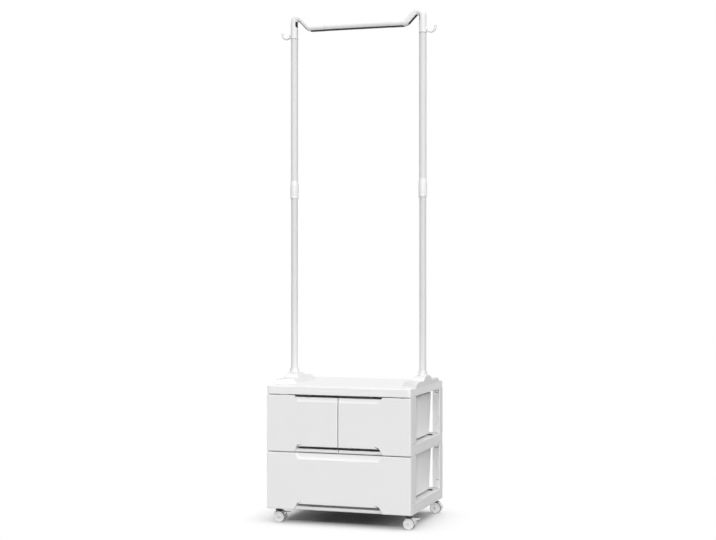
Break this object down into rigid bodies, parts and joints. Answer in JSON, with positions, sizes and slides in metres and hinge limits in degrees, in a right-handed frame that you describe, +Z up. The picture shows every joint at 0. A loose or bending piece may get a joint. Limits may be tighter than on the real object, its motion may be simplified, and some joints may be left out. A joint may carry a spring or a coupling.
{
  "type": "coat stand",
  "caption": "Rolling coat stand: telescopic poles joined by a hanging rail with end hooks rise from a low plastic chest of drawers on swivel castors.",
  "frame": {"origin": "on the floor, under the middle of the part's bounding box", "axes": "+Z up, -Y to the front (the drawers open towards -Y), +X to the right of someone facing the drawers"},
  "size_m": [0.5606, 0.405, 1.7348],
  "materials": {
    "frame_plastic": "white moulded plastic, fine satin",
    "board_plastic": "white moulded plastic, satin top",
    "front_plastic": "white moulded plastic, smooth satin",
    "tub_plastic": "white moulded plastic, matt",
    "fitting_plastic": "white moulded plastic, satin",
    "pole_paint": "white powder-coated steel tube",
    "castor_plastic": "white moulded plastic, satin",
    "wheel_plastic": "pale hard plastic, matt tread",
    "zinc_steel": "zinc-plated steel"
  },
  "bodies": {
    "chest": {"base_frame": "frame_plastic", "mid_frame": "frame_plastic", "top_board": "board_plastic", "front_post_lower_left": "frame_plastic", "rear_post_lower_left": "frame_plastic", "lock_peg_lower_left": "fitting_plastic", "front_post_lower_right": "frame_plastic", "rear_post_lower_right": "frame_plastic", "lock_peg_lower_right": "fitting_plastic", "front_post_upper_left": "frame_plastic", "rear_post_upper_left": "frame_plastic", "lock_peg_upper_left": "fitting_plastic", "front_post_upper_right": "frame_plastic", "rear_post_upper_right": "frame_plastic", "lock_peg_upper_right": "fitting_plastic", "pole_bracket_left": "fitting_plastic", "bracket_screw_left_front": "zinc_steel", "bracket_screw_left_rear": "zinc_steel", "lower_tube_left": "pole_paint", "pole_bracket_right": "fitting_plastic", "bracket_screw_right_front": "zinc_steel", "bracket_screw_right_rear": "zinc_steel", "lower_tube_right": "pole_paint"},
    "lower_drawer": {"lower_drawer_front": "front_plastic", "lower_drawer_tub": "tub_plastic"},
    "upper_left_drawer": {"upper_left_drawer_front": "front_plastic", "upper_left_drawer_tub": "tub_plastic"},
    "upper_right_drawer": {"upper_right_drawer_front": "front_plastic", "upper_right_drawer_tub": "tub_plastic"},
    "hanging_frame": {"hanging_rail": "pole_paint", "upper_tube_left": "pole_paint", "lock_sleeve_left": "fitting_plastic", "elbow_left": "fitting_plastic", "upper_tube_right": "pole_paint", "lock_sleeve_right": "fitting_plastic", "elbow_right": "fitting_plastic"},
    "lock_nut_left": {"lock_nut_left": "fitting_plastic"},
    "lock_nut_right": {"lock_nut_right": "fitting_plastic"},
    "castor_front_left": {"castor_hood_front_left": "castor_plastic", "castor_stem_front_left": "zinc_steel", "castor_axle_front_left": "zinc_steel"},
    "castor_wheel_front_left_a": {"castor_wheel_front_left_a": "wheel_plastic"},
    "castor_wheel_front_left_b": {"castor_wheel_front_left_b": "wheel_plastic"},
    "brake_lever_front_left": {"brake_lever_front_left": "castor_plastic"},
    "castor_front_right": {"castor_hood_front_right": "castor_plastic", "castor_stem_front_right": "zinc_steel", "castor_axle_front_right": "zinc_steel"},
    "castor_wheel_front_right_a": {"castor_wheel_front_right_a": "wheel_plastic"},
    "castor_wheel_front_right_b": {"castor_wheel_front_right_b": "wheel_plastic"},
    "brake_lever_front_right": {"brake_lever_front_right": "castor_plastic"},
    "castor_rear_left": {"castor_hood_rear_left": "castor_plastic", "castor_stem_rear_left": "zinc_steel", "castor_axle_rear_left": "zinc_steel"},
    "castor_wheel_rear_left_a": {"castor_wheel_rear_left_a": "wheel_plastic"},
    "castor_wheel_rear_left_b": {"castor_wheel_rear_left_b": "wheel_plastic"},
    "castor_rear_right": {"castor_hood_rear_right": "castor_plastic", "castor_stem_rear_right": "zinc_steel", "castor_axle_rear_right": "zinc_steel"},
    "castor_wheel_rear_right_a": {"castor_wheel_rear_right_a": "wheel_plastic"},
    "castor_wheel_rear_right_b": {"castor_wheel_rear_right_b": "wheel_plastic"}
  },
  "joints": [
    {"name": "lower_drawer_slide", "type": "slide", "parent": "chest", "child": "lower_drawer", "axis": [0, -1, 0], "range_m": [0, 0.25]},
    {"name": "upper_left_drawer_slide", "type": "slide", "parent": "chest", "child": "upper_left_drawer", "axis": [0, -1, 0], "range_m": [0, 0.25]},
    {"name": "upper_right_drawer_slide", "type": "slide", "parent": "chest", "child": "upper_right_drawer", "axis": [0, -1, 0], "range_m": [0, 0.25]},
    {"name": "pole_height", "type": "slide", "parent": "chest", "child": "hanging_frame", "axis": [0, 0, 1], "range_m": [-0.4, 0]},
    {"name": "lock_nut_left_turn", "type": "hinge", "parent": "hanging_frame", "child": "lock_nut_left", "pos_m": [-0.2315, 0.00925, 1.102], "axis": [0, 0, 1], "range_deg": [0, 90]},
    {"name": "lock_nut_right_turn", "type": "hinge", "parent": "hanging_frame", "child": "lock_nut_right", "pos_m": [0.2315, 0.00925, 1.102], "axis": [0, 0, 1], "range_deg": [0, 90]},
    {"name": "castor_front_left_swivel", "type": "hinge", "parent": "chest", "child": "castor_front_left", "pos_m": [-0.2265, -0.157, 0.05], "axis": [0, 0, 1], "continuous": true},
    {"name": "castor_wheel_front_left_a_spin", "type": "hinge", "parent": "castor_front_left", "child": "castor_wheel_front_left_a", "pos_m": [-0.2205, -0.1651, 0.019], "axis": [0, 1, 0], "continuous": true},
    {"name": "castor_wheel_front_left_b_spin", "type": "hinge", "parent": "castor_front_left", "child": "castor_wheel_front_left_b", "pos_m": [-0.2205, -0.1489, 0.019], "axis": [0, 1, 0], "continuous": true},
    {"name": "brake_lever_front_left_press", "type": "hinge", "parent": "castor_front_left", "child": "brake_lever_front_left", "pos_m": [-0.19953, -0.157, 0.03368], "axis": [0, 1, 0], "range_deg": [0, 20]},
    {"name": "castor_front_right_swivel", "type": "hinge", "parent": "chest", "child": "castor_front_right", "pos_m": [0.2265, -0.157, 0.05], "axis": [0, 0, 1], "continuous": true},
    {"name": "castor_wheel_front_right_a_spin", "type": "hinge", "parent": "castor_front_right", "child": "castor_wheel_front_right_a", "pos_m": [0.2325, -0.1651, 0.019], "axis": [0, 1, 0], "continuous": true},
    {"name": "castor_wheel_front_right_b_spin", "type": "hinge", "parent": "castor_front_right", "child": "castor_wheel_front_right_b", "pos_m": [0.2325, -0.1489, 0.019], "axis": [0, 1, 0], "continuous": true},
    {"name": "brake_lever_front_right_press", "type": "hinge", "parent": "castor_front_right", "child": "brake_lever_front_right", "pos_m": [0.25347, -0.157, 0.03368], "axis": [0, 1, 0], "range_deg": [0, 20]},
    {"name": "castor_rear_left_swivel", "type": "hinge", "parent": "chest", "child": "castor_rear_left", "pos_m": [-0.2265, 0.1755, 0.05], "axis": [0, 0, 1], "continuous": true},
    {"name": "castor_wheel_rear_left_a_spin", "type": "hinge", "parent": "castor_rear_left", "child": "castor_wheel_rear_left_a", "pos_m": [-0.2205, 0.1674, 0.019], "axis": [0, 1, 0], "continuous": true},
    {"name": "castor_wheel_rear_left_b_spin", "type": "hinge", "parent": "castor_rear_left", "child": "castor_wheel_rear_left_b", "pos_m": [-0.2205, 0.1836, 0.019], "axis": [0, 1, 0], "continuous": true},
    {"name": "castor_rear_right_swivel", "type": "hinge", "parent": "chest", "child": "castor_rear_right", "pos_m": [0.2265, 0.1755, 0.05], "axis": [0, 0, 1], "continuous": true},
    {"name": "castor_wheel_rear_right_a_spin", "type": "hinge", "parent": "castor_rear_right", "child": "castor_wheel_rear_right_a", "pos_m": [0.2325, 0.1674, 0.019], "axis": [0, 1, 0], "continuous": true},
    {"name": "castor_wheel_rear_right_b_spin", "type": "hinge", "parent": "castor_rear_right", "child": "castor_wheel_rear_right_b", "pos_m": [0.2325, 0.1836, 0.019], "axis": [0, 1, 0], "continuous": true}
  ]
}
